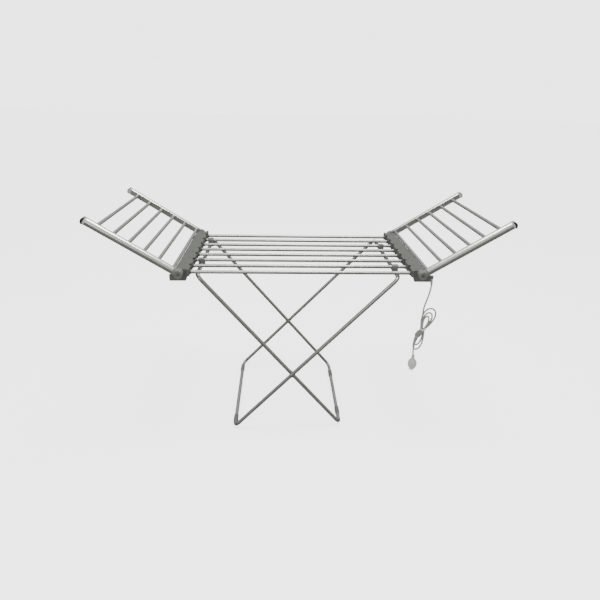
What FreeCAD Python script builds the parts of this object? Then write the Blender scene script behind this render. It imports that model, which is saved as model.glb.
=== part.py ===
import FreeCAD, Part
import math
import os
from FreeCAD import Vector

# Electrically heated winged clothes airer: a deck of bars between two moulded end housings,
# two hinged wings, crossed leg frames and a mains cord that hangs from one housing.
# Frame: millimetres, Z up, floor at z = 0, X along the deck bars, Y across them (+Y is the back).
# The right-hand half is modelled and mirrored, because the deck and wings are the same both ways.

# ---- driving dimensions ------------------------------------------------------------------------
bar_height = 626.0        # centre line of the deck bars above the floor
bar_count = 8
bar_pitch = 64.3
bar_radius = 6.0
bar_wall = 0.9
hinge_x = 403.0           # wing hinge axis, from the middle of the deck
hinge_rise = 4.0          # wing hinge axis above the deck bars
wing_rest_angle = 32.0    # wings are raised this far in the rest pose
wing_bar_count = 6
wing_bar_clear = 18.0     # free radius round the hinge axis, inside the first wing bar
wing_bar_pitch = 53.3
rail_radius = 13.0
rail_flat = 9.0           # inner flat of the rail, from its centre line
rail_wall = 1.2
rail_start = 22.0         # rail tube, from the hinge axis
rail_end = 322.0
rail_gap = 5.0            # between a housing's end and the rail's flat
leg_radius = 7.0
leg_wall = 1.0
leg_bend = 22.0
leg_gap = 2.0             # between the inner and the outer frame's tubes
leg_margin = 5.0          # outer leg frame's centre line past the housing covers' ends
inner_top_inset = 52.0    # inner frame's top bar, inwards from the left hinge axis
inner_foot_x = 160.0
outer_top_inset = 72.0    # outer frame's top bar, inwards from the right hinge axis
outer_foot_x = -240.0
sleeve_wall = 2.0
sleeve_flat = 0.5         # how far the flat underside cuts into a sleeve
sleeve_length = 40.0
inner_sleeve_inset = 80.5 # sleeve's middle, inwards from the frame's side tube
outer_sleeve_inset = 46.5
bar_to_leg = 1.5          # gap between a deck bar and a leg frame's top bar
housing_inner = 25.0      # housing's inner edge, inwards from the hinge axis
housing_outer = 15.0      # housing's outer edge, outwards from the hinge axis
housing_low = 10.0        # below the bars
housing_top = 15.0        # above the bars
housing_wall = 2.5
housing_margin = 6.45     # plastic past the outermost bar's surface, up to the end block
block_depth = 10.0        # end block, along Y
block_low = 26.0          # below the bars
pad_rise = 1.0            # raised band over the bars' ends
band_width = 9.0          # raised band, from the housing's inner edge
pad_half = 22.0           # half the width of a finger round a bar
pad_reach = 7.0           # finger past the housing's inner edge
scallop_radius = 26.0     # wave on the outer edge of the raised band
scallop_reach = 18.0      # crest of a wave, from the housing's inner edge
collar_length = 3.0
collar_wall = 2.0
socket_depth = 10.0       # bar end inside the housing's edge
knuckle_radius = 14.0
lug_radius = 11.0         # rounded top of the end block, round the hinge axis
knuckle_gap = 1.0         # between housing end and knuckle
pin_radius = 4.0
pin_clearance = 0.06
pin_shoulder = 1.0        # pin head past the shank
clip_side = 4.0           # clip's wall beside the bar and the leg tube
clip_wall = 2.6
pivot_clearance = 0.08
hook_clearance = 0.4
rivet_radius = 3.0
rivet_clearance = 0.05
rivet_head_radius = 6.0
rivet_head = 1.5
face_gap = 0.1            # between flat faces that turn on each other
wire_radius = 1.2
feed_radius = 1.7         # wire along a wing's rail
screw_radius = 1.5
screw_head_radius = 3.2
screw_head = 2.0
screw_post = 3.6
screw_inset = 8.0         # from the housing's outer edge
strip_gap = 2.0           # between a bar's end and the terminal strip
strip_width = 6.0
strip_half_height = 3.5
outlet_size = 10.0        # lug that the cord leaves from
outlet_reach = 20.0       # end block past the housing's outer edge
outlet_drop = 15.0        # lug's underside below the bars
spigot_length = 30.0      # knuckle's spigot inside the rail
spigot_bore = 3.5
plug_ring = 6.0           # collar on a rail's free end
plug_depth = 14.0
end_flatness = 0.75
end_split = 1.0           # where the rounded end turns from grey to black, from the centre line
cord_radius = 2.8
relief_top_radius = 4.6
hank_half = 9.0           # half the hank's thickness, along Y
hank_side = -8.0          # hank's middle, towards the front from the outlet's
waist_radius = 8.0
tie_width = 7.0
tie_wall = 1.3
plug_radius = 16.0
plug_height = 54.0
pin_reach = 8.0

# ---- values worked out from them ---------------------------------------------------------------
bar_z = bar_height
sleeve_radius = leg_radius + sleeve_wall
foot_height = sleeve_radius - sleeve_flat
clip_half_x = leg_radius + clip_side
clip_half_y = bar_radius + clip_side
pin_head_radius = pin_radius + pin_shoulder
hinge_z = bar_z + hinge_rise
bars_half = bar_pitch * (bar_count - 1) / 2
cover_half = bars_half + housing_margin
housing_half = cover_half + block_depth
rail_y = housing_half + rail_gap + rail_flat
edge_in = hinge_x - housing_inner
edge_out = hinge_x + housing_outer
pad_in = edge_in - pad_reach
bar_end = edge_in + socket_depth
leg_top_z = bar_z - bar_radius - leg_radius - bar_to_leg
outer_half_depth = cover_half + leg_margin
inner_half_depth = outer_half_depth - 2 * leg_radius - leg_gap
inner_sleeve_y = inner_half_depth - inner_sleeve_inset
outer_sleeve_y = outer_half_depth - outer_sleeve_inset
inner_top_x = inner_top_inset - hinge_x
outer_top_x = hinge_x - outer_top_inset
inner_top = (inner_top_x, leg_top_z)
inner_foot = (inner_foot_x, foot_height)
outer_top = (outer_top_x, leg_top_z)
outer_foot = (outer_foot_x, foot_height)
cross_share = (outer_top_x - inner_top_x) / (outer_top_x - inner_top_x + inner_foot_x - outer_foot_x)
cross_x = inner_top_x + cross_share * (inner_foot_x - inner_top_x)
cross_z = leg_top_z + cross_share * (foot_height - leg_top_z)
screw_ys = [-2 * bar_pitch, 0.0, 2 * bar_pitch]
screw_x = edge_out - screw_inset
strip_x = bar_end + strip_gap
outlet_x = edge_out + outlet_reach + outlet_size / 2
outlet_y = -cover_half - block_depth / 2
outlet_low = bar_z - outlet_drop
knuckle_in = housing_half + knuckle_gap
knuckle_out = rail_y + rail_radius
spigot_end = rail_start + spigot_length
bar_ys = [bars_half - i * bar_pitch for i in range(bar_count)]
wing_bar_first = wing_bar_clear + bar_radius
wing_bar_places = [wing_bar_first + i * wing_bar_pitch for i in range(wing_bar_count)]

X = Vector(1, 0, 0)
Y = Vector(0, 1, 0)
Z = Vector(0, 0, 1)


# ---- shape helpers -----------------------------------------------------------------------------
def box(x0, x1, y0, y1, z0, z1):
    return Part.makeBox(x1 - x0, y1 - y0, z1 - z0, Vector(x0, y0, z0))


def rod(start, end, radius):
    return Part.makeCylinder(radius, (end - start).Length, start, end - start)


def tube(start, end, radius, wall):
    return rod(start, end, radius).cut(rod(start, end, radius - wall))


def joined(shapes):
    return shapes[0].fuse(shapes[1:]).removeSplitter() if len(shapes) > 1 else shapes[0]


def group(shapes):
    return Part.makeCompound(shapes)


def mirror_x(shape):
    return shape.mirror(Vector(0, 0, 0), X)


def mirror_y(shape):
    return shape.mirror(Vector(0, 0, 0), Y)


def soften(shape, radius, chosen):
    """Fillet the edges that the test picks out."""
    return shape.makeFillet(radius, [edge for edge in shape.Edges if chosen(edge)])


def slab(outline, y0, y1):
    """Outline of (x, z) points pushed along Y."""
    points = [Vector(x, y0, z) for x, z in outline]
    return Part.Face(Part.makePolygon(points + points[:1])).extrude(Vector(0, y1 - y0, 0))


def save(name, shape):
    os.makedirs("parts", exist_ok=True)
    shape.exportStep("parts/" + name + ".step")


def save_both_sides(name, shape):
    save("right_" + name, shape)
    save("left_" + name, mirror_x(shape))


# ---- deck --------------------------------------------------------------------------------------
def deck_bars():
    for number, y in enumerate(bar_ys, 1):
        start = Vector(-bar_end, y, bar_z)
        save(f"deck_bar_{number}", tube(start, Vector(bar_end, y, bar_z), bar_radius, bar_wall))


def bar_sockets():
    """The space that the deck bars' ends take in a housing."""
    return [rod(Vector(0, y, bar_z), Vector(bar_end, y, bar_z), bar_radius) for y in bar_ys]


def fingers(z0, z1):
    """One broad finger round each bar's end, between two heights."""
    shapes = []
    for y in bar_ys:
        finger = box(pad_in, edge_in + 1, y - pad_half, y + pad_half, z0, z1)
        shapes.append(soften(finger, 3.0, lambda e: e.CenterOfMass.x < pad_in + 0.01
                             and abs(e.CenterOfMass.z - (z0 + z1) / 2) < 0.01))
    return shapes


def raised_band():
    """Band over the bars' ends whose outer edge waves, with a crest at each bar."""
    top = bar_z + housing_top + pad_rise
    band = box(edge_in, edge_in + band_width, -cover_half, cover_half, bar_z, top)
    centre_x = edge_in + scallop_reach - scallop_radius
    keep = box(edge_in, edge_out, -cover_half, cover_half, bar_z, top)
    waves = [rod(Vector(centre_x, y, bar_z), Vector(centre_x, y, top), scallop_radius).common(keep)
             for y in bar_ys]
    whole = joined([band] + waves + fingers(bar_z, top))
    return soften(whole, 1.2, lambda e: e.CenterOfMass.z > top - 0.01)


def collars(lower):
    """Half collars round the bars where they leave the housing."""
    radius = bar_radius + collar_wall
    z0, z1 = (bar_z - radius, bar_z) if lower else (bar_z, bar_z + radius)
    keep = box(0, edge_out, -housing_half, housing_half, z0, z1)
    return [rod(Vector(pad_in - collar_length, y, bar_z), Vector(edge_in, y, bar_z), radius).common(keep)
            for y in bar_ys]


def cavity(z0, z1):
    """Wiring space inside a housing, with a post round each screw."""
    half = cover_half - housing_wall
    hollow = box(bar_end, edge_out - housing_wall, -half, half, z0, z1)
    posts = [rod(Vector(screw_x, y, z0), Vector(screw_x, y, z1), screw_post) for y in screw_ys]
    return hollow.cut(posts)


def screw(y):
    base = bar_z - housing_low
    tip = bar_z + housing_top - 3
    shank = rod(Vector(screw_x, y, base + screw_head), Vector(screw_x, y, tip), screw_radius)
    head = rod(Vector(screw_x, y, base), Vector(screw_x, y, base + screw_head), screw_head_radius)
    return head.fuse(shank).removeSplitter()


def screw_space():
    return [screw(y) for y in screw_ys]


def hinge_pin(sign=1):
    """Shouldered pin along Y, fixed in the end block, with its head sunk in the knuckle."""
    head_in = rail_y + rail_radius - 7.0
    shank = rod(Vector(hinge_x, cover_half + 1, hinge_z), Vector(hinge_x, head_in, hinge_z), pin_radius)
    head_out = head_in + 4.5
    head = rod(Vector(hinge_x, head_in, hinge_z), Vector(hinge_x, head_out, hinge_z), pin_head_radius)
    half = pin_head_radius - 2.0
    slot = box(hinge_x - half, hinge_x + half, head_out - 1.4, head_out + 1, hinge_z - 0.7, hinge_z + 0.7)
    cross = box(hinge_x - 0.7, hinge_x + 0.7, head_out - 1.4, head_out + 1, hinge_z - half, hinge_z + half)
    pin = head.fuse(shank).removeSplitter().cut([slot, cross])
    return pin if sign > 0 else mirror_y(pin)


def end_block(sign=1):
    """Deep end of a housing that carries a wing's hinge pin."""
    outline = [
        (edge_in - 4, bar_z + housing_top),
        (edge_in - 4, bar_z),
        (edge_in + 6, bar_z - block_low),
        (edge_out + outlet_reach, bar_z - block_low),
        (edge_out + outlet_reach, bar_z - 5),
        (edge_out + 1, bar_z - 5),
        (edge_out - 1.5, bar_z + housing_top),
    ]
    block = slab(outline, cover_half, housing_half)
    lug = rod(Vector(hinge_x, cover_half, hinge_z), Vector(hinge_x, housing_half, hinge_z), lug_radius)
    block = block.fuse(lug).removeSplitter()
    return block if sign > 0 else mirror_y(block)


def cord_outlet():
    """Lug on the right front block that the cord leaves downwards."""
    half = block_depth / 2
    start, end = edge_out + outlet_reach, outlet_x + outlet_size / 2
    lug = box(start, end, outlet_y - half, outlet_y + half, outlet_low, bar_z - 5)
    return soften(lug, 2.0, lambda e: abs(e.CenterOfMass.x - outlet_x - outlet_size / 2) < 0.01
                  and abs(e.CenterOfMass.z - (bar_z - 10)) < 0.01)


def housing_base(with_outlet):
    tray = box(edge_in, edge_out, -cover_half, cover_half, bar_z - housing_low, bar_z)
    tray = soften(tray, 2.0, lambda e: e.Length > bars_half
                  and e.CenterOfMass.z < bar_z - housing_low + 0.01)
    bodies = [tray] + fingers(bar_z - bar_radius - collar_wall, bar_z) + collars(True)
    bodies += [end_block(1), end_block(-1)]
    if with_outlet:
        bodies.append(cord_outlet())
    holes = bar_sockets() + screw_space() + [cavity(bar_z - housing_low + housing_wall, bar_z)]
    holes += [hinge_pin(1), hinge_pin(-1)]
    return joined(bodies).cut(holes)


def housing_cover():
    shell = box(edge_in, edge_out, -cover_half, cover_half, bar_z, bar_z + housing_top)
    shell = soften(shell, 2.5, lambda e: e.Length > bars_half
                   and e.CenterOfMass.z > bar_z + housing_top - 0.01)
    holes = bar_sockets() + screw_space() + [cavity(bar_z, bar_z + housing_top - housing_wall)]
    return joined([shell, raised_band()] + collars(False)).cut(holes + [end_block(1), end_block(-1)])


def deck_housings():
    save("right_housing_base", housing_base(True))
    save("left_housing_base", mirror_x(housing_base(False)))
    save_both_sides("housing_cover", housing_cover())
    screws = group(screw_space())
    save("housing_screws", group([screws, mirror_x(screws)]))
    pins = group([hinge_pin(1), hinge_pin(-1)])
    save("hinge_pins", group([pins, mirror_x(pins)]))


def deck_wiring():
    wires = [rod(Vector(-strip_x, y, bar_z), Vector(strip_x, y, bar_z), wire_radius) for y in bar_ys]
    save("deck_heating_wires", group(wires))
    half = cover_half - housing_wall - 1
    low, high = bar_z - strip_half_height, bar_z + strip_half_height
    strip = box(strip_x, strip_x + strip_width, -half, half, low, high)
    strip = soften(strip, 0.8, lambda e: e.Length > bars_half)
    save("terminal_strips", group([strip, mirror_x(strip)]))


# ---- wings -------------------------------------------------------------------------------------
# A wing is drawn flat, pointing along +X from the hinge axis, then raised to its rest angle.
def raised(shape):
    turned = shape.copy()
    turned.rotate(Vector(hinge_x, 0, hinge_z), Y, -wing_rest_angle)
    return turned


def rail_section(start, end, shrink):
    """Round rail with a flat on its inner side, between two distances from the hinge axis."""
    round_bar = rod(Vector(hinge_x + start, rail_y, hinge_z), Vector(hinge_x + end, rail_y, hinge_z),
                    rail_radius - shrink)
    inner = rail_y - rail_flat + shrink
    big = 2 * rail_radius
    keep = box(hinge_x + start, hinge_x + end, inner, rail_y + big, hinge_z - big, hinge_z + big)
    return round_bar.common(keep)


def wing_bar_space():
    return [rod(Vector(hinge_x + place, 0, hinge_z), Vector(hinge_x + place, rail_y, hinge_z), bar_radius)
            for place in wing_bar_places]


def rail():
    shell = rail_section(rail_start, rail_end, 0).cut(rail_section(rail_start, rail_end, rail_wall))
    return shell.cut(wing_bar_space())


def knuckle():
    """Hinge disc with a neck and a spigot that plugs into the rail."""
    disc = rod(Vector(hinge_x, knuckle_in, hinge_z), Vector(hinge_x, knuckle_out, hinge_z), knuckle_radius)
    disc = soften(disc, 1.2, lambda e: e.CenterOfMass.y > knuckle_out - 0.01)
    neck = rail_section(0, rail_start, 0)
    spigot = rail_section(rail_start, spigot_end, rail_wall + face_gap)
    outer = Vector(hinge_x, knuckle_out, hinge_z)
    head_start = Vector(hinge_x, knuckle_out - 7.0 - face_gap, hinge_z)
    head_space = rod(head_start, outer, pin_head_radius + 0.4)
    step = rod(Vector(hinge_x, knuckle_out - 1.5, hinge_z), outer, 10.5)
    bore = rod(Vector(hinge_x, knuckle_in, hinge_z), outer, pin_radius + pin_clearance)
    channel_start = Vector(hinge_x + rail_start - 4, rail_y, hinge_z)
    channel = rod(channel_start, Vector(hinge_x + spigot_end, rail_y, hinge_z), spigot_bore)
    return joined([disc, neck, spigot]).cut([head_space, step, bore, channel] + wing_bar_space())


def rounded_end(y0, y1):
    """Rounded tongue past the collar, between two places along Y."""
    start = hinge_x + rail_end + plug_ring
    tongue = rod(Vector(0, y0, 0), Vector(0, y1, 0), rail_radius - 0.5)
    tongue = tongue.common(box(0, rail_radius, y0, y1, -rail_radius, rail_radius))
    flatter = FreeCAD.Matrix()
    flatter.scale(Vector(end_flatness, 1, 1))
    tongue = tongue.transformGeometry(flatter)
    tongue.translate(Vector(start, 0, hinge_z))
    return tongue


def end_plug():
    """Grey collar with a spigot in the rail and the inner half of the rail's rounded end."""
    ring = rail_section(rail_end, rail_end + plug_ring, -0.5)
    inside = rail_section(rail_end - plug_depth, rail_end, rail_wall + face_gap)
    return joined([ring, inside, rounded_end(rail_y - rail_flat, rail_y + end_split)])


def end_cap():
    """Black outer half of the rail's rounded end."""
    outer = rail_y + rail_radius - 1.0
    collar_end = hinge_x + rail_end + plug_ring
    cap = rounded_end(rail_y + end_split, outer)
    return soften(cap, 2.5, lambda e: e.CenterOfMass.y > outer - 0.01 and e.CenterOfMass.x > collar_end + 1)


def wing_wires():
    """Heating wire in each bar and a feed along each rail, joined into one ladder."""
    start, end = hinge_x + wing_bar_places[0] - 3, hinge_x + wing_bar_places[-1] + 3
    feeds = [rod(Vector(start, y, hinge_z), Vector(end, y, hinge_z), feed_radius) for y in (-rail_y, rail_y)]
    rungs = []
    for place in wing_bar_places:
        x = hinge_x + place
        rungs.append(rod(Vector(x, -rail_y, hinge_z), Vector(x, rail_y, hinge_z), wire_radius))
    return joined(feeds + rungs)


def wings():
    reach = rail_y - rail_flat + rail_wall + 1.5
    for number, place in enumerate(wing_bar_places, 1):
        start = Vector(hinge_x + place, -reach, hinge_z)
        bar = tube(start, Vector(hinge_x + place, reach, hinge_z), bar_radius, bar_wall)
        save_both_sides(f"wing_bar_{number}", raised(bar))
    for name, shape in (("rail", rail()), ("knuckle", knuckle())):
        save_both_sides("back_" + name, raised(shape))
        save_both_sides("front_" + name, raised(mirror_y(shape)))
    for name, shape in (("rail_end_plugs", end_plug()), ("rail_end_caps", end_cap())):
        save_both_sides(name, raised(group([shape, mirror_y(shape)])))
    save_both_sides("wing_heating_wires", raised(wing_wires()))


# ---- legs --------------------------------------------------------------------------------------
def leg_loop(top, foot, half_depth, radius):
    """Closed rectangular loop of round bar between a top bar and a foot bar, given as (x, z)."""
    length = math.hypot(foot[0] - top[0], foot[1] - top[1])
    pieces = []
    corners = [(0, half_depth), (length, half_depth), (length, -half_depth), (0, -half_depth)]
    for place, (u, v) in enumerate(corners):
        next_u, next_v = corners[(place + 1) % 4]
        step = Vector(next_u - u, next_v - v, 0).normalize()
        start, end = Vector(u, v, 0) + step * leg_bend, Vector(next_u, next_v, 0) - step * leg_bend
        pieces.append(rod(start, end, radius))
        inward = Vector(1 if u == 0 else -1, -1 if v > 0 else 1, 0)
        centre = Vector(u, v, 0) + inward * leg_bend
        ring = Part.makeTorus(leg_bend, radius, centre, Z)
        far = leg_bend + radius + 1
        quarter = Part.makeBox(far, far, 2 * far, Vector(0, 0, -far))
        turn = {(False, True): 90, (True, True): 0, (True, False): 270, (False, False): 180}[(u > 0, v > 0)]
        quarter.rotate(Vector(0, 0, 0), Z, turn)
        quarter.translate(centre)
        pieces.append(ring.common(quarter))
    loop = joined(pieces)
    loop.rotate(Vector(0, 0, 0), Y, math.degrees(math.atan2(top[1] - foot[1], foot[0] - top[0])))
    loop.translate(Vector(top[0], 0, top[1]))
    return loop


def rivet():
    """Rivet through both tubes at the crossing, fixed in the inner frame."""
    inner_face = inner_half_depth - leg_radius
    outer_face = outer_half_depth + leg_radius + face_gap
    shank = rod(Vector(cross_x, inner_face, cross_z), Vector(cross_x, outer_face, cross_z), rivet_radius)
    heads = [rod(Vector(cross_x, inner_face - rivet_head, cross_z), Vector(cross_x, inner_face, cross_z),
                 rivet_head_radius),
             rod(Vector(cross_x, outer_face, cross_z), Vector(cross_x, outer_face + rivet_head, cross_z),
                 rivet_head_radius)]
    heads[1] = soften(heads[1], 1.0, lambda e: e.CenterOfMass.y > outer_face + rivet_head - 0.01)
    return joined([shank] + heads)


def washer():
    start = inner_half_depth + leg_radius + face_gap
    return tube(Vector(cross_x, start, cross_z), Vector(cross_x, start + leg_gap - 2 * face_gap, cross_z),
                leg_radius, leg_radius - rivet_radius - rivet_clearance)


def leg_frame(top, foot, half_depth, hole_radius):
    """Bent tube frame with its rivet holes and a weld vent in the foot bar."""
    frame = leg_loop(top, foot, half_depth, leg_radius)
    hollow = leg_loop(top, foot, half_depth, leg_radius - leg_wall)
    reach = half_depth + leg_radius + 1
    hole = rod(Vector(cross_x, -reach, cross_z), Vector(cross_x, reach, cross_z), hole_radius)
    vent = rod(Vector(foot[0], 0, foot[1]), Vector(foot[0], 0, foot[1] + leg_radius + 1), 1.5)
    return frame.cut([hollow, hole, vent])


def foot_sleeves(foot, place):
    """Two grippy sleeves on a foot bar, flat underneath."""
    shapes = []
    for y in (place, -place):
        start = Vector(foot[0], y - sleeve_length / 2, foot[1])
        end = Vector(foot[0], y + sleeve_length / 2, foot[1])
        sleeve = rod(start, end, sleeve_radius)
        sleeve = soften(sleeve, 1.0, lambda e: abs(e.CenterOfMass.y - y) > sleeve_length / 2 - 0.01)
        floor = box(foot[0] - 20, foot[0] + 20, y - sleeve_length, y + sleeve_length, -20, 0)
        shapes.append(sleeve.cut([rod(start, end, leg_radius), floor]))
    return group(shapes)


def legs():
    save("leg_frame_inner", leg_frame(inner_top, inner_foot, inner_half_depth, rivet_radius))
    loose = rivet_radius + rivet_clearance
    save("leg_frame_outer", leg_frame(outer_top, outer_foot, outer_half_depth, loose))
    for name, shape in (("crossing_rivets", rivet()), ("crossing_washers", washer())):
        save(name, group([shape, mirror_y(shape)]))
    save("inner_foot_sleeves", foot_sleeves(inner_foot, inner_sleeve_y))
    save("outer_foot_sleeves", foot_sleeves(outer_foot, outer_sleeve_y))


# ---- clips that join the legs to the deck --------------------------------------------------------
def clip_block(x, y, closed):
    """Clip body on a deck bar: rounded over the bar, or open above it with two horns."""
    low = leg_top_z - leg_radius - clip_wall
    x0, x1 = x - clip_half_x, x + clip_half_x
    body = box(x0, x1, y - clip_half_y, y + clip_half_y, low, bar_z + (0 if closed else bar_radius + 1))
    bar_space = rod(Vector(x0, y, bar_z), Vector(x1, y, bar_z), bar_radius)
    if closed:
        body = body.fuse(rod(Vector(x0, y, bar_z), Vector(x1, y, bar_z), clip_half_y)).removeSplitter()
        return body.cut(bar_space)
    body = soften(body, 2.5, lambda e: e.Length > 2 * clip_half_x - 1 and abs(e.CenterOfMass.x - x) < 0.01
                  and e.CenterOfMass.z > bar_z + bar_radius)
    slot = box(x0, x1, y - bar_radius, y + bar_radius, bar_z, bar_z + 2 * bar_radius)
    return body.cut([bar_space, slot])


def pivot_clip(y, closed):
    """Clip whose bore is the inner leg frame's pivot."""
    bore = rod(Vector(inner_top_x, y - 20, leg_top_z), Vector(inner_top_x, y + 20, leg_top_z),
               leg_radius + pivot_clearance)
    return clip_block(inner_top_x, y, closed).cut(bore)


def hook_clip(y, closed):
    """Hook that rests on the outer leg frame's top bar: a saddle with a wall on its outer side."""
    radius = leg_radius + hook_clearance
    groove = rod(Vector(outer_top_x, y - 20, leg_top_z), Vector(outer_top_x, y + 20, leg_top_z), radius)
    mouth = box(outer_top_x - 30, outer_top_x, y - 20, y + 20, leg_top_z - 30, leg_top_z + radius)
    below = box(outer_top_x - 30, outer_top_x + radius, y - 20, y + 20, leg_top_z - 30, leg_top_z)
    return clip_block(outer_top_x, y, closed).cut([groove, mouth, below])


def clips():
    save("left_back_pivot_clip", pivot_clip(bar_ys[1], True))
    save("left_front_pivot_clip", pivot_clip(bar_ys[5], False))
    save("right_back_hook_clip", hook_clip(bar_ys[2], False))
    save("right_front_hook_clip", hook_clip(bar_ys[6], True))


# ---- cord --------------------------------------------------------------------------------------
# Both routes hang from the outlet: the first down to the tied hank, the second from it to the plug.
# Every place is given from the middle of the outlet's underside.
def from_outlet(x, y, z):
    return Vector(outlet_x + x, outlet_y + y, outlet_low + z)


cord_route = [from_outlet(*place) for place in (
    (2, -0.5, -23), (1, -2, -38), (-4, -4.5, -60), (-11, -6.5, -84), (-17, -7.5, -107.5),
    (-17.5, -8, -132), (-17, -8, -156), (-17, -8, -181),
)]
tail_route = [from_outlet(*place) for place in (
    (-31, -7.5, -253), (-35, -7.5, -269), (-35.5, -7.5, -281), (-33, -7.5, -293),
)]
upper_turns = (8, -147, 16, 44.5, 26)    # middle x and z, half width, half height, lean
lower_turns = (-22, -229, 11.5, 42, 17)
waist_ends = ((-15.4, -201.5), (-8.3, -173.3))   # x and z of the bundle's ends where it is tied


def rounded_path(route):
    """Straight runs joined by tangent arcs, each as large as its two runs allow."""
    edges = []
    last = route[0]
    for before, corner, after in zip(route, route[1:], route[2:]):
        back = (before - corner).normalize()
        on = (after - corner).normalize()
        turn = math.pi - back.getAngle(on)
        setback = 0.45 * min((before - corner).Length, (after - corner).Length)
        radius = setback / math.tan(turn / 2)
        middle = corner + (back + on).normalize() * (math.hypot(radius, setback) - radius)
        edges.append(Part.LineSegment(last, corner + back * setback).toShape())
        edges.append(Part.Arc(corner + back * setback, middle, corner + on * setback).toShape())
        last = corner + on * setback
        print(f"  arc radius {radius:.1f}, turn {math.degrees(turn):.1f}")
    edges.append(Part.LineSegment(last, route[-1]).toShape())
    return Part.Wire(edges)


def cord_tube(points):
    path = rounded_path(points)
    start, ahead = points[:2]
    section = Part.Wire(Part.Circle(start, ahead - start, cord_radius).toShape())
    solid = path.makePipeShell([section], True, False)
    expected = math.pi * cord_radius ** 2 * path.Length
    print(f"  tube length {path.Length:.1f}, volume over section x length {solid.Volume / expected:.4f}")
    return solid


def strain_relief():
    """Tapered sleeve from the outlet down to the cord's first point."""
    top = from_outlet(0, 0, 0)
    end = cord_route[0]
    cone = Part.makeCone(relief_top_radius, cord_radius + 0.7, (end - top).Length, top, end - top)
    grooves = []
    for share in (0.35, 0.55, 0.75):
        place = top + (end - top) * share
        grooves.append(tube(place, place + (end - top) * 0.06, relief_top_radius + 1, 1.6))
    return cone.cut(grooves).cut(housing_base(True))


def lobe(centre_x, centre_z, half_width, half_height, lean):
    """Flat oval block that takes up the turns of one half of the hank."""
    ellipse = Part.Ellipse(Vector(0, 0, 0), half_height, half_width)
    solid = Part.Face(Part.Wire(ellipse.toShape())).extrude(Vector(0, 0, 2 * hank_half))
    solid.rotate(Vector(0, 0, 0), X, 90)
    solid.rotate(Vector(0, 0, 0), Y, 90 + lean)
    solid.translate(from_outlet(centre_x, hank_side + hank_half, centre_z))
    return solid


def waist():
    low, high = [from_outlet(x, hank_side, z) for x, z in waist_ends]
    return low, high


def cord_hank():
    """Outer shape of the tied hank: two lobes of turns that meet at the tie."""
    return joined([lobe(*upper_turns), lobe(*lower_turns), rod(*waist(), waist_radius)])


def cord_tie():
    """Band round the waist of the hank."""
    low, high = waist()
    middle = (low + high) / 2
    half = (high - low).normalize() * (tie_width / 2)
    return tube(middle - half, middle + half, waist_radius + tie_wall, tie_wall).cut(cord_hank())


plug_top = tail_route[-1]


def plug_body():
    """Round moulded plug: a narrow neck that swells to a dome and ends in a flat face."""
    bottom = 1 - plug_height
    swell = [(5.6, -12), (7.6, -14.5), (13, -21), (plug_radius, -32), (plug_radius - 1, -41),
             (plug_radius - 5, -49.5), (8, bottom)]
    curve = Part.BSplineCurve()
    curve.interpolate([Vector(r, 0, z) for r, z in swell])
    corners = [(8, bottom), (0, bottom), (0, 0), (4.9, 0), (5.6, -12)]
    edges = [Part.LineSegment(Vector(a, 0, b), Vector(c, 0, d)).toShape()
             for (a, b), (c, d) in zip(corners, corners[1:])]
    edges.append(curve.toShape())
    body = Part.Face(Part.Wire(edges)).revolve(Vector(0, 0, 0), Z, 360)
    body.translate(plug_top)
    return body.cut(plug_pins())


def plug_pins():
    """Two slanted flat pins and one upright one."""
    z0, z1 = -plug_height + 1 - pin_reach, -plug_height + 9
    pins = []
    for x, y, turn in ((5, 3, -30), (-5, 3, 30), (0, -5, 0)):
        pin = box(-0.8, 0.8, -2.6, 2.6, z0, z1)
        pin.rotate(Vector(0, 0, 0), Z, turn)
        pin.translate(Vector(x, y, 0) + plug_top)
        pins.append(pin)
    return group(pins)


def cord_set():
    save("cord_strain_relief", strain_relief())
    hank = cord_hank()
    save("power_cord", cord_tube(cord_route).cut([hank, cord_tie(), strain_relief()]))
    save("cord_tail", cord_tube(tail_route).cut([hank, plug_body()]))
    save("cord_hank", hank)
    save("cord_tie", cord_tie())
    save("plug_body", plug_body())
    save("plug_pins", plug_pins())


deck_bars()
deck_housings()
deck_wiring()
wings()
legs()
clips()
cord_set()
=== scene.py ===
import math
import bmesh
import bpy
from mathutils import Matrix, Vector


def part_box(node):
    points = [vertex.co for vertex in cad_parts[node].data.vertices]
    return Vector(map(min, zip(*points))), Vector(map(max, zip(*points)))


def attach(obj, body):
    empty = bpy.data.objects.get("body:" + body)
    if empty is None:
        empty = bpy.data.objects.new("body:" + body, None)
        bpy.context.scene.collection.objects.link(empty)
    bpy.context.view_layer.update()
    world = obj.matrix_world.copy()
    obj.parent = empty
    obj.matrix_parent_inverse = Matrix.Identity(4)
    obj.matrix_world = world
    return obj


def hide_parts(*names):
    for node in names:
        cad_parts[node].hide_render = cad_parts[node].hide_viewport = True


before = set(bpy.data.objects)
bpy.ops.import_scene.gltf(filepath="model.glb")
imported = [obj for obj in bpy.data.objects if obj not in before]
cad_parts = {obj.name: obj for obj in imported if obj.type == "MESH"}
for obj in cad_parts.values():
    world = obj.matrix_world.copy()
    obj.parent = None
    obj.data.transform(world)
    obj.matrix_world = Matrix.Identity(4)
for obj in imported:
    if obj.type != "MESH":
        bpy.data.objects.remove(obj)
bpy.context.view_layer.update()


# ---- Camera --------------------------------------------------------------------------------------
# Stands in front of the airer, a little left of its middle and well above the deck, and looks down
# over the wings.
eye = Vector((-0.077, -1.770, 1.1766))
looking_down = math.radians(22.83)
looking_right = math.radians(2.76)
head_tilt = math.radians(-1.26)
film_width = 36.0
focal_length = 29.23
forward = Vector((
    math.sin(looking_right) * math.cos(looking_down),
    math.cos(looking_right) * math.cos(looking_down),
    -math.sin(looking_down),
))
level = Vector((math.cos(looking_right), -math.sin(looking_right), 0.0))
below = forward.cross(level)
rightward = level * math.cos(head_tilt) + below * math.sin(head_tilt)
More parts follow.
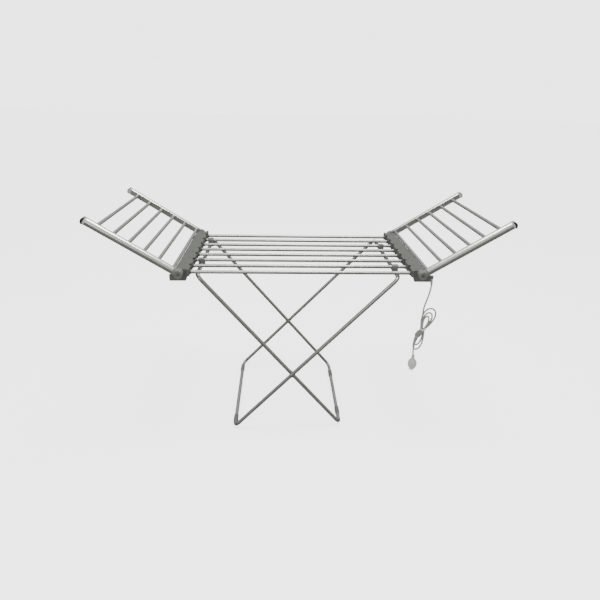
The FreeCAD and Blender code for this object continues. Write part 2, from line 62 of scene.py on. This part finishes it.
upward = level * math.sin(head_tilt) - below * math.cos(head_tilt)
camera_data = bpy.data.cameras.new("front_camera")
camera_data.sensor_width = film_width
camera_data.lens = focal_length
camera = bpy.data.objects.new("front_camera", camera_data)
facing = Matrix((rightward, upward, -forward)).transposed().to_4x4()
camera.matrix_world = Matrix.Translation(eye) @ facing
bpy.context.scene.collection.objects.link(camera)
bpy.context.scene.camera = camera


# ---- Power cord ----------------------------------------------------------------------------------
# A round vinyl mains lead, one piece from the strain relief to the plug. It hangs to a hank of three
# turns that a twist tie pinches in the middle, and its tail drops on to the plug.
cord_thick = 0.0056
down_to_hank = [
    (0.445, -0.237, 0.588), (0.444, -0.2385, 0.573), (0.439, -0.241, 0.551), (0.432, -0.243, 0.527),
    (0.426, -0.244, 0.5035), (0.4255, -0.2445, 0.479), (0.426, -0.2445, 0.455),
]
hank_to_plug = [
    (0.4145, -0.244, 0.383), (0.409, -0.244, 0.3665), (0.4075, -0.244, 0.349), (0.4075, -0.244, 0.332),
    (0.410, -0.244, 0.318),
]
tie_middle = Vector((0.4311, -0.2445, 0.4236))
bundle_side = Vector((0.970, 0.0, -0.2425)).normalized()
bundle_depth = Vector((0.0, 1.0, 0.0))
strand_gap = 0.0060
# Where each pass of the cord goes through the tie, in strand gaps to the right and to the back. The
# first four passes take turns at the left and the right, and the last three go through the middle.
passes = [(-0.87, -0.5), (0.87, -0.5), (-0.87, 0.5), (0.87, 0.5), (0.0, 1.0), (0.0, -1.0), (0.0, 0.0)]
# Each half turn: its length past the tie (negative below it), half width, how many degrees its axis
# leans to the right at the top, and how far its end bows towards the front.
half_turns = [
    (-0.083, 0.0145, 13.0, 0.0015),
    (0.085, 0.0225, 19.0, -0.0015),
    (-0.068, 0.0115, 14.0, -0.0045),
    (0.069, 0.0150, 15.0, 0.0045),
    (-0.036, 0.0090, 36.0, 0.0030),
    (0.056, 0.0095, 10.0, 0.0075),
]
points_per_half_turn = 8
gap_beside_tie = 0.7        # in steps from point to point
drop_to_half_width = 1.3    # brings the drop's widest place to its half width
strands_close_by = 0.5      # share of the strand gap lost at a turn's far end


def through_tie(number):
    side, depth = passes[number]
    return tie_middle + (bundle_side * side + bundle_depth * depth) * strand_gap


def hank_points():
    """Control points of the turns: a drop-shaped loop past the tie between every two passes."""
    points = [through_tie(0)]
    for number, (length, half_width, lean, bow) in enumerate(half_turns):
        angle = math.radians(lean)
        along = Vector((math.sin(angle), 0.0, math.cos(angle)))
        across = Vector((math.cos(angle), 0.0, -math.sin(angle)))
        before, after = through_tie(number) - tie_middle, through_tie(number + 1) - tie_middle
        if length < 0:
            across = -across
        for step in range(points_per_half_turn):
            share = (step + gap_beside_tie) / (points_per_half_turn - 1 + 2 * gap_beside_tie)
            turn = 2 * math.pi * share
            away = math.sin(turn / 2)
            out = length * (1 - math.cos(turn)) / 2
            wide = half_width * math.sin(turn) * away * drop_to_half_width
            strand = before.lerp(after, share) * (1 - strands_close_by * away)
            forwards = bundle_depth * (-bow) * away
            points.append(tie_middle + strand + along * out + across * wide + forwards)
        points.append(through_tie(number + 1))
    return points


def cord_curve(name, points, thick):
    """A round lead along the points. Its half thickness is each point's radius, over a bevel depth of
    one, so that the curve's bounds come out at its true size."""
    data = bpy.data.curves.new(name, "CURVE")
    data.dimensions = "3D"
    data.bevel_depth = 1.0
    data.bevel_resolution = 6
    data.resolution_u = 10
    data.use_fill_caps = True
    spline = data.splines.new("NURBS")
    spline.points.add(len(points) - 1)
    for point, place in zip(spline.points, points):
        point.co = (*place, 1.0)
        point.radius = thick / 2
    spline.order_u = 3
    spline.use_endpoint_u = True
    piece = bpy.data.objects.new(name, data)
    bpy.context.scene.collection.objects.link(piece)
    return piece


mains_cord = cord_curve("mains_cord", down_to_hank + hank_points() + hank_to_plug, cord_thick)
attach(mains_cord, "deck")
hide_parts("power_cord", "cord_hank", "cord_tail")


def group_tree(name, inputs, outputs):
    """An empty shader node group with (name, socket type, default) inputs and (name, type) outputs."""
    tree = bpy.data.node_groups.new(name, "ShaderNodeTree")
    for label, kind, default in inputs:
        socket = tree.interface.new_socket(label, in_out="INPUT", socket_type=kind)
        socket.default_value = default
    for label, kind in outputs:
        tree.interface.new_socket(label, in_out="OUTPUT", socket_type=kind)
    return tree


def joiner(tree):
    """Returns two short functions that add a node to the tree and link two sockets."""
    def add(kind, **settings):
        node = tree.nodes.new(kind)
        for key, value in settings.items():
            setattr(node, key, value)
        return node
    return add, tree.links.new


def make_moulded_skin():
    """Fine spark-eroded grain with soft tone drift, as on moulded plastic and vinyl."""
    dull_patch = (0.35, 0.35, 0.34, 1.0)
    tree = group_tree("moulded_skin", [
        ("Colour", "NodeSocketColor", (0.5, 0.5, 0.5, 1.0)),
        ("Grain Scale", "NodeSocketFloat", 1500.0),
        ("Drift Scale", "NodeSocketFloat", 14.0),
        ("Drift", "NodeSocketFloat", 0.12),
        ("Roughness", "NodeSocketFloat", 0.5),
        ("Roughness Spread", "NodeSocketFloat", 0.1),
    ], [("Colour", "NodeSocketColor"), ("Roughness", "NodeSocketFloat"), ("Height", "NodeSocketFloat")])
    add, link = joiner(tree)
    given, out = add("NodeGroupInput"), add("NodeGroupOutput")
    place = add("ShaderNodeTexCoord")
    grain = add("ShaderNodeTexNoise", noise_dimensions="3D")
    grain.inputs["Detail"].default_value = 4.0
    drift = add("ShaderNodeTexNoise", noise_dimensions="3D")
    drift.inputs["Detail"].default_value = 3.0
    for noise, scale in ((grain, "Grain Scale"), (drift, "Drift Scale")):
        link(place.outputs["Object"], noise.inputs["Vector"])
        link(given.outputs[scale], noise.inputs["Scale"])
    level_drift = add("ShaderNodeMapRange")
    level_drift.inputs["From Min"].default_value = 0.3
    level_drift.inputs["From Max"].default_value = 0.7
    link(drift.outputs["Fac"], level_drift.inputs["Value"])
    shade = add("ShaderNodeMath", operation="MULTIPLY")
    link(level_drift.outputs["Result"], shade.inputs[0])
    link(given.outputs["Drift"], shade.inputs[1])
    darker = add("ShaderNodeMix", data_type="RGBA", blend_type="MULTIPLY")
    link(shade.outputs[0], darker.inputs["Factor"])
    link(given.outputs["Colour"], darker.inputs["A"])
    darker.inputs["B"].default_value = dull_patch
    link(darker.outputs["Result"], out.inputs["Colour"])
    rough = add("ShaderNodeMath", operation="MULTIPLY_ADD")
    link(grain.outputs["Fac"], rough.inputs[0])
    link(given.outputs["Roughness Spread"], rough.inputs[1])
    link(given.outputs["Roughness"], rough.inputs[2])
    link(rough.outputs[0], out.inputs["Roughness"])
    link(grain.outputs["Fac"], out.inputs["Height"])
    return tree


moulded_skin = make_moulded_skin()


def new_material(name, metallic=0.0, coat=0.0, specular=0.5):
    material = bpy.data.materials.new(name)
    material.use_nodes = True
    shader = material.node_tree.nodes["Principled BSDF"]
    shader.inputs["Metallic"].default_value = metallic
    shader.inputs["Coat Weight"].default_value = coat
    shader.inputs["Coat Roughness"].default_value = 0.25
    shader.inputs["Specular IOR Level"].default_value = specular
    return material, shader


def through_group(material, shader, tree, bump, depth, values):
    """Places a group in a material, sets its inputs and feeds its colour, roughness and height on."""
    nodes, link = material.node_tree.nodes, material.node_tree.links.new
    effect = nodes.new("ShaderNodeGroup")
    effect.node_tree = tree
    for label, value in values.items():
        effect.inputs[label].default_value = value
    relief = nodes.new("ShaderNodeBump")
    relief.inputs["Strength"].default_value = bump
    relief.inputs["Distance"].default_value = depth
    link(effect.outputs["Colour"], shader.inputs["Base Color"])
    link(effect.outputs["Roughness"], shader.inputs["Roughness"])
    link(effect.outputs["Height"], relief.inputs["Height"])
    link(relief.outputs["Normal"], shader.inputs["Normal"])


def moulded_plastic(name, colour, rough=0.5, grain=1500.0, bump=0.25, drift=0.12, coat=0.0):
    grain_depth = 0.0002
    material, shader = new_material(name, coat=coat)
    through_group(material, shader, moulded_skin, bump, grain_depth, {
        "Colour": (*colour, 1.0),
        "Grain Scale": grain,
        "Drift": drift,
        "Roughness": rough,
    })
    return material


def cover(piece, material):
    piece.data.materials.append(material)


vinyl_colour = (0.30, 0.30, 0.28)
cover(mains_cord, moulded_plastic("grey_vinyl_jacket", vinyl_colour, rough=0.38, grain=900.0, bump=0.12,
                                  drift=0.25))


# ---- Strain relief and plug ----------------------------------------------------------------------
# The strain relief is a grooved soft vinyl sleeve moulded round the lead where it leaves the housing.
# The round plug is moulded on the far end in a stiffer, glossier vinyl, round its three flat pins.
def dress(material, *nodes):
    """Gives CAD nodes a finished material in place of their plain one."""
    for node in nodes:
        for material_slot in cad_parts[node].material_slots:
            material_slot.material = material


dress(moulded_plastic("soft_vinyl_sleeve", vinyl_colour, rough=0.45, grain=900.0), "cord_strain_relief")
dress(moulded_plastic("plug_moulding", (0.52, 0.52, 0.485), rough=0.3, grain=700.0, bump=0.1, drift=0.2,
                      coat=0.15), "plug_body")


# ---- Cord tie ------------------------------------------------------------------------------------
# A plastic-covered wire twist tie, wound round the waist of the hank, with its two ends twisted
# together at the front. The ends get the same grained tie plastic as the tie.
dress(moulded_plastic("tie_plastic", (0.62, 0.62, 0.59), rough=0.35, grain=800.0), "cord_tie")
tie_thick = 0.0016
twist_start = tie_middle + Vector((0.001, -0.0092, 0.0))
twist_lean = Vector((0.35, -0.25, 0.9)).normalized()
twist_length = 0.011
twist_turns = 2.0
twist_radius = 0.0009
twist_steps = 24
for strand in range(2):
    twist = []
    for step in range(twist_steps + 1):
        share = step / twist_steps
        turn = 2 * math.pi * (twist_turns * share + strand / 2)
        out = twist_start + twist_lean * twist_length * share
        twist.append(out + Vector((math.cos(turn), math.sin(turn), 0.0)) * twist_radius)
    end = cord_curve(f"twist_tie_end_{strand + 1}", twist, tie_thick)
    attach(end, "deck")
    cover(end, bpy.data.materials["tie_plastic"])


# ---- Deck bars -----------------------------------------------------------------------------------
# Drawn aluminium tubes in clear satin anodising, pressed into the housings at both ends. Drawing
# leaves faint lines along each tube.
def make_drawn_metal():
    """Lines left along a tube by drawing, with cloudy tone and rubbed spots."""
    tree = group_tree("drawn_metal", [
        ("Colour", "NodeSocketColor", (0.7, 0.7, 0.7, 1.0)),
        ("Dull Colour", "NodeSocketColor", (0.5, 0.5, 0.5, 1.0)),
        ("Turn", "NodeSocketVector", (0.0, 0.0, 0.0)),
        ("Line Scale", "NodeSocketVector", (2.0, 600.0, 600.0)),
        ("Cloud Scale", "NodeSocketFloat", 30.0),
        ("Roughness", "NodeSocketFloat", 0.3),
        ("Roughness Spread", "NodeSocketFloat", 0.15),
    ], [("Colour", "NodeSocketColor"), ("Roughness", "NodeSocketFloat"), ("Height", "NodeSocketFloat")])
    add, link = joiner(tree)
    given, out = add("NodeGroupInput"), add("NodeGroupOutput")
    place = add("ShaderNodeTexCoord")
    turned = add("ShaderNodeMapping", vector_type="POINT")
    link(place.outputs["Object"], turned.inputs["Vector"])
    link(given.outputs["Turn"], turned.inputs["Rotation"])
    stretched = add("ShaderNodeVectorMath", operation="MULTIPLY")
    link(turned.outputs["Vector"], stretched.inputs[0])
    link(given.outputs["Line Scale"], stretched.inputs[1])
    lines = add("ShaderNodeTexNoise", noise_dimensions="3D")
    lines.inputs["Scale"].default_value = 1.0
    lines.inputs["Detail"].default_value = 3.0
    link(stretched.outputs["Vector"], lines.inputs["Vector"])
    clouds = add("ShaderNodeTexNoise", noise_dimensions="3D")
    clouds.inputs["Detail"].default_value = 5.0
    link(place.outputs["Object"], clouds.inputs["Vector"])
    link(given.outputs["Cloud Scale"], clouds.inputs["Scale"])
    mixed = add("ShaderNodeMath", operation="MULTIPLY")
    link(lines.outputs["Fac"], mixed.inputs[0])
    link(clouds.outputs["Fac"], mixed.inputs[1])
    spread = add("ShaderNodeMapRange")
    spread.inputs["From Min"].default_value = 0.12
    spread.inputs["From Max"].default_value = 0.42
    link(mixed.outputs[0], spread.inputs["Value"])
    tone = add("ShaderNodeMix", data_type="RGBA", blend_type="MIX")
    link(spread.outputs["Result"], tone.inputs["Factor"])
    link(given.outputs["Dull Colour"], tone.inputs["A"])
    link(given.outputs["Colour"], tone.inputs["B"])
    link(tone.outputs["Result"], out.inputs["Colour"])
    rough = add("ShaderNodeMath", operation="MULTIPLY_ADD")
    link(lines.outputs["Fac"], rough.inputs[0])
    link(given.outputs["Roughness Spread"], rough.inputs[1])
    link(given.outputs["Roughness"], rough.inputs[2])
    link(rough.outputs[0], out.inputs["Roughness"])
    link(lines.outputs["Fac"], out.inputs["Height"])
    return tree


drawn_metal = make_drawn_metal()


def drawn_tube(name, colour, dull, turn=(0.0, 0.0, 0.0), rough=0.28, metallic=1.0, coat=0.0):
    line_bump = 0.15
    line_depth = 0.0001
    material, shader = new_material(name, metallic=metallic, coat=coat)
    through_group(material, shader, drawn_metal, line_bump, line_depth, {
        "Colour": (*colour, 1.0),
        "Dull Colour": (*dull, 1.0),
        "Turn": turn,
        "Roughness": rough,
    })
    return material


bar_colour = (0.53, 0.54, 0.51)
bar_dull = (0.41, 0.42, 0.395)
deck_bar_finish = drawn_tube("anodised_deck_bar", bar_colour, bar_dull)
dress(deck_bar_finish, *[f"deck_bar_{number}" for number in range(1, 9)])


# ---- Housings ------------------------------------------------------------------------------------
# Two end housings, each a ribbed base tray and a scalloped cover moulded in grey plastic and
# screwed together from below. They grip the deck bars and carry the wings' hinge pins.
housing_grain = 1300.0
housing_plastic = moulded_plastic("housing_plastic", (0.080, 0.084, 0.073), rough=0.55,
                                  grain=housing_grain, bump=0.35)
base_plastic = moulded_plastic("housing_base_plastic", (0.085, 0.089, 0.079), rough=0.55,
                               grain=housing_grain, bump=0.35)
for side in ("left", "right"):
    dress(housing_plastic, f"{side}_housing_cover")
    dress(base_plastic, f"{side}_housing_base")


# ---- Screws, pins and rivets ---------------------------------------------------------------------
# Small zinc-plated steel fasteners: the housing screws, the four slotted hinge pins sunk in the
# knuckles, and the rivets and washers where the leg frames cross. The plug's pins are bare brass.
plated_steel = drawn_tube("zinc_plated_steel", (0.5, 0.5, 0.48), (0.33, 0.33, 0.31), rough=0.35)
dress(plated_steel, "housing_screws", "crossing_rivets", "crossing_washers")
dress(drawn_tube("dulled_hinge_pin", (0.34, 0.34, 0.325), (0.24, 0.24, 0.23), rough=0.4), "hinge_pins")
dress(drawn_tube("plug_pin_brass", (0.62, 0.58, 0.47), (0.45, 0.41, 0.31), rough=0.25), "plug_pins")


# ---- Heating wires and terminals -----------------------------------------------------------------
# White silicone-covered heating wire through every bar, and the pale strips that join its ends
# inside the housings.
dress(moulded_plastic("silicone_wire_cover", (0.75, 0.74, 0.70), rough=0.45), "deck_heating_wires",
      "left_wing_heating_wires", "right_wing_heating_wires")
dress(moulded_plastic("terminal_plastic", (0.78, 0.77, 0.72), rough=0.4), "terminal_strips")


# ---- Wings ---------------------------------------------------------------------------------------
# Each wing is a ladder: six thin anodised tubes between two polished rails. A grey knuckle is
# plugged into each rail at the hinge, and a rounded grey end with a black outer half at the tip.
wing_angle = math.radians(32.0)
rail_colour = (0.68, 0.69, 0.645)
rail_dull = (0.54, 0.55, 0.51)
wing_bar_finish = drawn_tube("anodised_wing_bar", bar_colour, bar_dull, turn=(0.0, 0.0, math.pi / 2))
knuckle_plastic = moulded_plastic("knuckle_plastic", (0.135, 0.139, 0.125), rough=0.45,
                                  grain=housing_grain, bump=0.3)
end_plug_plastic = moulded_plastic("rail_collar_plastic", (0.37, 0.375, 0.35), rough=0.4,
                                   grain=housing_grain)
end_cap_plastic = moulded_plastic("rail_cap_plastic", (0.012, 0.012, 0.012), rough=0.3, grain=900.0,
                                  bump=0.1, coat=0.3)
for side, sense in (("left", 1), ("right", -1)):
    rail_finish = drawn_tube(f"polished_{side}_rail", rail_colour, rail_dull,
                             turn=(0.0, -sense * wing_angle, 0.0), rough=0.2)
    dress(rail_finish, f"{side}_front_rail", f"{side}_back_rail")
    dress(wing_bar_finish, *[f"{side}_wing_bar_{number}" for number in range(1, 7)])
    dress(knuckle_plastic, f"{side}_front_knuckle", f"{side}_back_knuckle")
    dress(end_plug_plastic, f"{side}_rail_end_plugs")
    dress(end_cap_plastic, f"{side}_rail_end_caps")


# ---- Rail end screws -----------------------------------------------------------------------------
# A small zinc-plated pan-head screw holds the rounded grey end in each rail. Its domed head sits on
# the inner face, near the tip of the wing.
screw_head_radius = 0.0023
screw_head_rise = 0.0011
screw_head_place = 0.3325
screw_head_rings = 5
screw_head_steps = 24
hinge_axis_x = 0.403
hinge_axis_z = 0.630
rail_inner_face = 0.2465


def domed_screw_head(name):
    """Low dome on the XY plane, rising along +Z."""
    form = bmesh.new()
    rows = []
    for ring in range(screw_head_rings):
        climb = ring / screw_head_rings * math.pi / 2
        radius = screw_head_radius * math.cos(climb)
        row = []
        for step in range(screw_head_steps):
            turn = 2 * math.pi * step / screw_head_steps
            row.append(form.verts.new((
                radius * math.cos(turn), radius * math.sin(turn), screw_head_rise * math.sin(climb),
            )))
        rows.append(row)
    for lower, upper in zip(rows, rows[1:]):
        for step in range(screw_head_steps):
            after = (step + 1) % screw_head_steps
            form.faces.new((lower[step], lower[after], upper[after], upper[step]))
    form.faces.new(rows[-1])
    form.faces.new(list(reversed(rows[0])))
    for face in form.faces:
        face.smooth = len(face.verts) == 4
    data = bpy.data.meshes.new(name)
    form.to_mesh(data)
    form.free()
    piece = bpy.data.objects.new(name, data)
    bpy.context.scene.collection.objects.link(piece)
    return piece


for side, sense in (("left", -1), ("right", 1)):
    for end, facing in (("front", -1), ("back", 1)):
        screw_head = domed_screw_head(f"{side}_{end}_rail_end_screw")
        screw_head.location = (
            sense * (hinge_axis_x + screw_head_place * math.cos(wing_angle)),
            facing * rail_inner_face,
            hinge_axis_z + screw_head_place * math.sin(wing_angle),
        )
        screw_head.rotation_euler = (facing * math.pi / 2, 0.0, 0.0)
        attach(screw_head, f"{side}_wing")
        cover(screw_head, plated_steel)


# ---- Leg frames ----------------------------------------------------------------------------------
# Two closed rectangles of bent steel tube in silver paint. The inner one turns in the left clips, the
# outer one hooks on at the right, and rivets join them where they cross.
leg_colour = (0.36, 0.365, 0.345)
leg_dull = (0.27, 0.275, 0.26)
for side, sense in (("inner", -1), ("outer", 1)):
    leg_low, leg_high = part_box(f"leg_frame_{side}")
    slope = math.atan2(leg_high[2] - leg_low[2], leg_high[0] - leg_low[0])
    dress(drawn_tube(f"silver_paint_{side}", leg_colour, leg_dull, turn=(0.0, sense * slope, 0.0),
                     rough=0.3, metallic=0.85, coat=0.2), f"leg_frame_{side}")


# ---- Foot sleeves --------------------------------------------------------------------------------
# Soft grey rubber sleeves pushed on to the foot bars, flat underneath so that the airer grips.
dress(moulded_plastic("foot_rubber", (0.12, 0.12, 0.115), rough=0.65, grain=1000.0, bump=0.4),
      "inner_foot_sleeves", "outer_foot_sleeves")


# ---- Clips ---------------------------------------------------------------------------------------
# Moulded grey clips snapped on the deck bars: closed pivot clips for the inner frame at the left and
# open hooks for the outer frame at the right.
clip_plastic = moulded_plastic("clip_plastic", (0.12, 0.125, 0.112), rough=0.45, grain=housing_grain,
                               bump=0.3)
dress(clip_plastic, "left_back_pivot_clip", "left_front_pivot_clip", "right_back_hook_clip",
      "right_front_hook_clip")


# ---- Floor and light -----------------------------------------------------------------------------
# A plain pale studio sweep under a broad soft light, with a weaker one from the front left. Sky and
# floor look brighter to the camera than they are to the airer, so the metal keeps its contrast.
airer_middle = (0.0, 0.0, 0.4)
light_width = 1.0


def soft_light(name, place, power):
    data = bpy.data.lights.new(name, "AREA")
    data.shape = "DISK"
    data.size = light_width
    data.energy = power
    lamp = bpy.data.objects.new(name, data)
    lamp.location = place
    lamp.rotation_mode = "QUATERNION"
    lamp.rotation_quaternion = (Vector(airer_middle) - Vector(place)).to_track_quat("-Z", "Y")
    bpy.context.scene.collection.objects.link(lamp)


soft_light("top_light", (0.2, -0.1, 3.0), 55.0)
soft_light("front_light", (-1.4, -3.2, 1.9), 22.0)

white = (1.0, 1.0, 1.0, 1.0)
low_sky_colour = (0.24, 0.245, 0.24, 1.0)
low_sky_height = 0.45
high_sky_height = 0.95
sky_strength = 1.3
backdrop_strength = 3.4


def studio_sky():
    """Grey low down and white overhead for the light it gives, plain bright white for the camera."""
    world = bpy.data.worlds.new("studio")
    world.use_nodes = True
    sky = world.node_tree.nodes["Background"]
    add, link = joiner(world.node_tree)
    direction = add("ShaderNodeTexCoord")
    height = add("ShaderNodeSeparateXYZ")
    scaled = add("ShaderNodeMapRange")
    scaled.inputs["From Min"].default_value = -1.0
    fade = add("ShaderNodeValToRGB")
    low, high = fade.color_ramp.elements
    low.position = low_sky_height
    low.color = low_sky_colour
    high.position = high_sky_height
    high.color = white
    seen = add("ShaderNodeLightPath")
    shown = add("ShaderNodeMix", data_type="RGBA")
    shown.inputs["B"].default_value = white
    strength = add("ShaderNodeMapRange")
    strength.inputs["To Min"].default_value = sky_strength
    strength.inputs["To Max"].default_value = backdrop_strength
    link(direction.outputs["Generated"], height.inputs["Vector"])
    link(height.outputs["Z"], scaled.inputs["Value"])
    link(scaled.outputs["Result"], fade.inputs["Fac"])
    link(seen.outputs["Is Camera Ray"], shown.inputs["Factor"])
    link(fade.outputs["Color"], shown.inputs["A"])
    link(shown.outputs["Result"], sky.inputs["Color"])
    link(seen.outputs["Is Camera Ray"], strength.inputs["Value"])
    link(strength.outputs["Result"], sky.inputs["Strength"])
    return world


bpy.context.scene.world = studio_sky()

floor_half_width = 30.0
floor_colour = (0.8, 0.8, 0.8, 1.0)
floor_in_reflections = (0.22, 0.22, 0.21, 1.0)
floor_glow = 2.4


def studio_floor_paint():
    """Pale matt paint that glows for the camera and shows as an even grey in the metal."""
    paint, shader = new_material("studio_floor_paint", specular=0.1)
    shader.inputs["Base Color"].default_value = floor_colour
    shader.inputs["Roughness"].default_value = 0.9
    add, link = joiner(paint.node_tree)
    seen = add("ShaderNodeLightPath")
    reflected = add("ShaderNodeEmission")
    reflected.inputs["Color"].default_value = floor_in_reflections
    reflected_or_lit = add("ShaderNodeMixShader")
    glow_strength = add("ShaderNodeMath", operation="MULTIPLY")
    glow_strength.inputs[1].default_value = floor_glow
    glow = add("ShaderNodeEmission")
    glow.inputs["Color"].default_value = white
    glowing = add("ShaderNodeAddShader")
    link(seen.outputs["Is Glossy Ray"], reflected_or_lit.inputs["Fac"])
    link(shader.outputs["BSDF"], reflected_or_lit.inputs[1])
    link(reflected.outputs["Emission"], reflected_or_lit.inputs[2])
    link(seen.outputs["Is Camera Ray"], glow_strength.inputs[0])
    link(glow_strength.outputs[0], glow.inputs["Strength"])
    link(reflected_or_lit.outputs["Shader"], glowing.inputs[0])
    link(glow.outputs["Emission"], glowing.inputs[1])
    link(glowing.outputs["Shader"], paint.node_tree.nodes["Material Output"].inputs["Surface"])
    return paint


floor_form = bmesh.new()
bmesh.ops.create_grid(floor_form, x_segments=1, y_segments=1, size=floor_half_width)
floor_mesh = bpy.data.meshes.new("studio_floor")
floor_form.to_mesh(floor_mesh)
floor_form.free()
studio_floor = bpy.data.objects.new("studio_floor", floor_mesh)
bpy.context.scene.collection.objects.link(studio_floor)
cover(studio_floor, studio_floor_paint())
